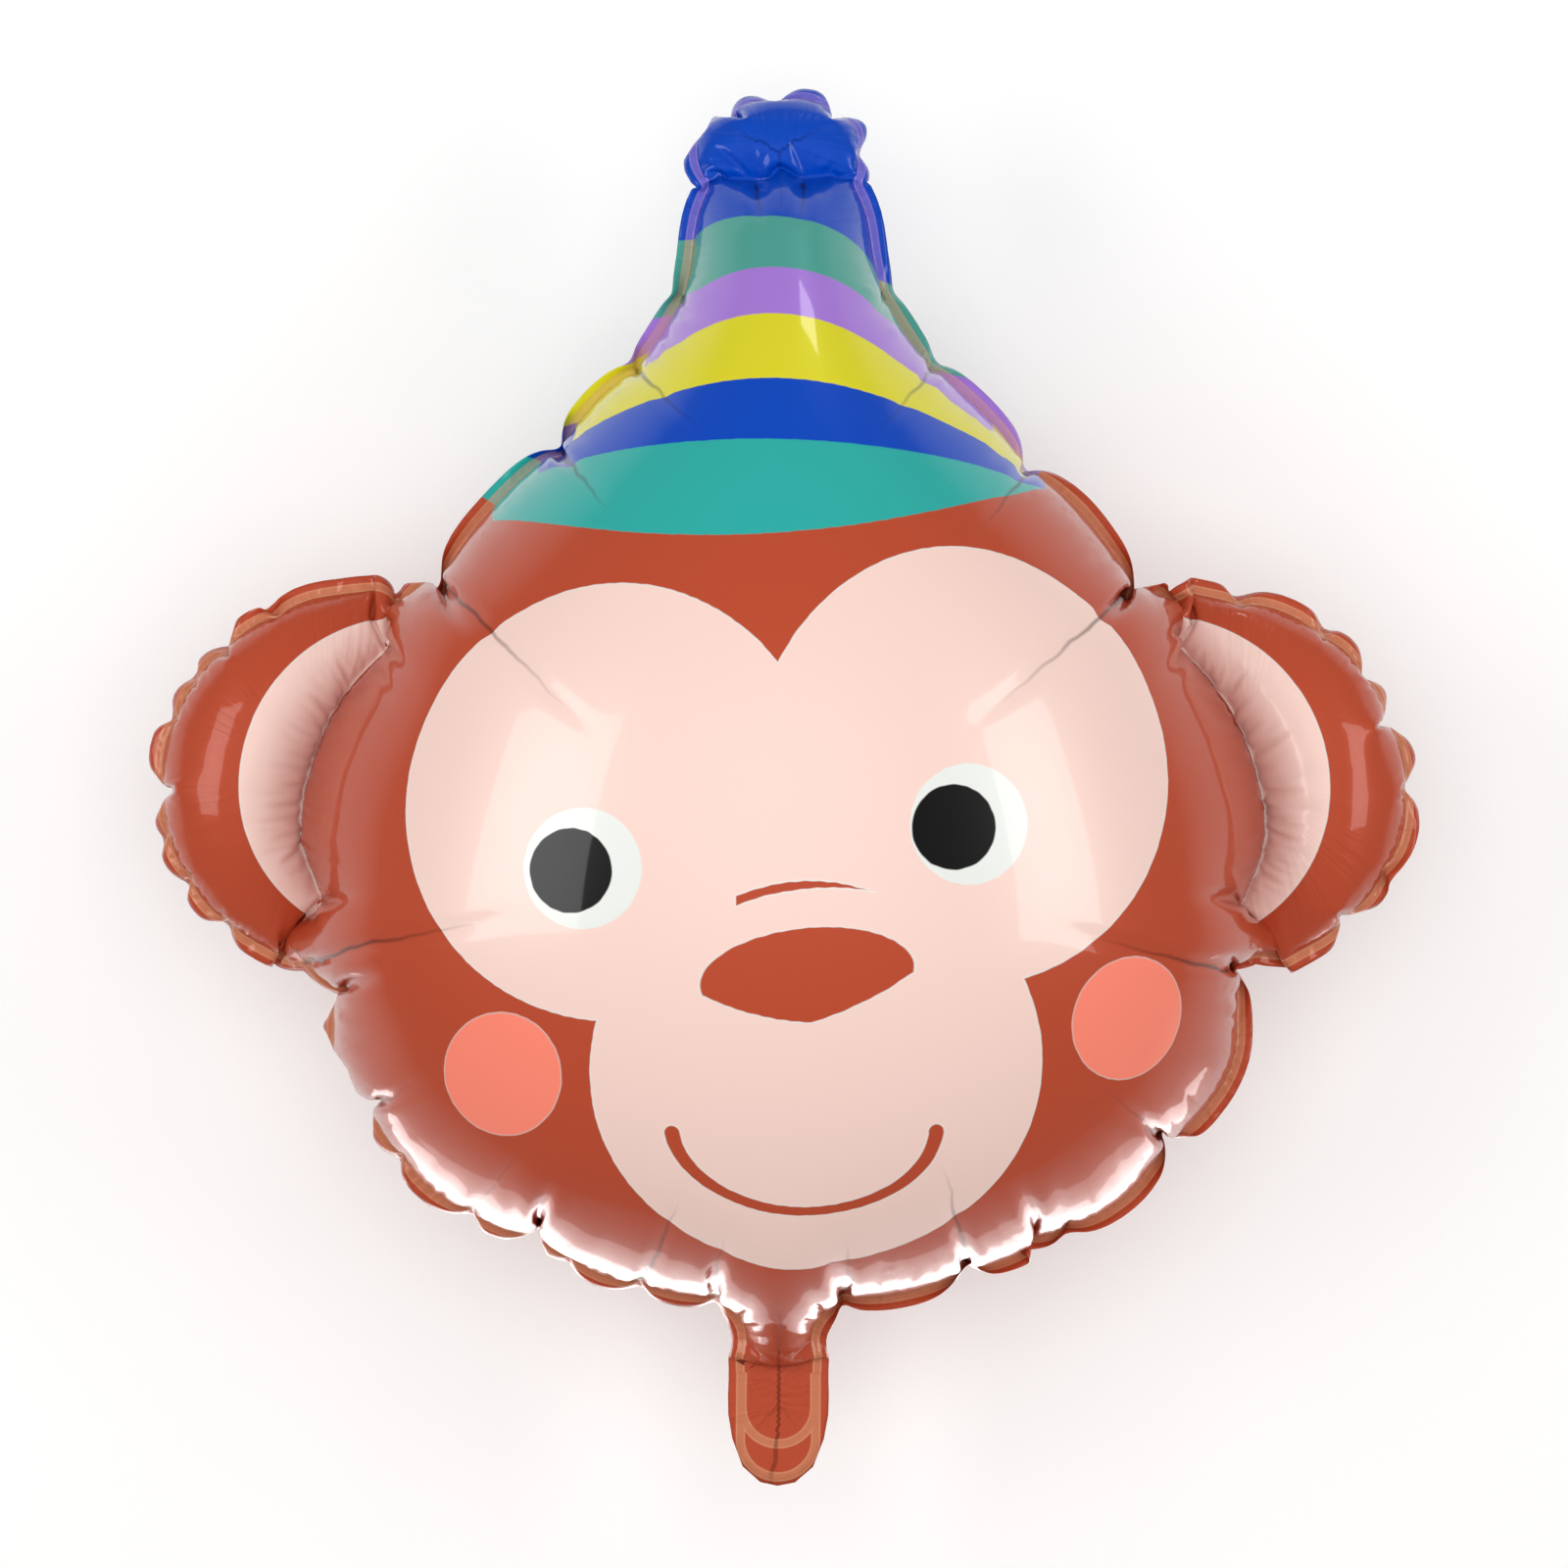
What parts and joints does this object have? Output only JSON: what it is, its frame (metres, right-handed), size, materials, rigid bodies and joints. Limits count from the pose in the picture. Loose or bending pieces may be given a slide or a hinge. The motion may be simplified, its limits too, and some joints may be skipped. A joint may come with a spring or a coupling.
{
  "type": "monkey foil balloon",
  "caption": "Filled foil party balloon shaped as a monkey's head in a striped, pointed hat with a pom-pom, with ears, puckered seams and a flat filling tail.",
  "frame": {"origin": "on the floor, under the middle of the outline", "axes": "+X across the face to the viewer's right, +Y from the tail towards the hat's pom-pom, +Z out of the face; the balloon lies on its back"},
  "size_m": [0.5128, 0.5756, 0.2481],
  "materials": {
    "front_print": "printed metallised film, satin gloss",
    "back_print": "printed metallised film, satin gloss"
  },
  "bodies": {
    "root": {"front_foil": "front_print", "back_foil": "back_print"}
  },
  "joints": []
}
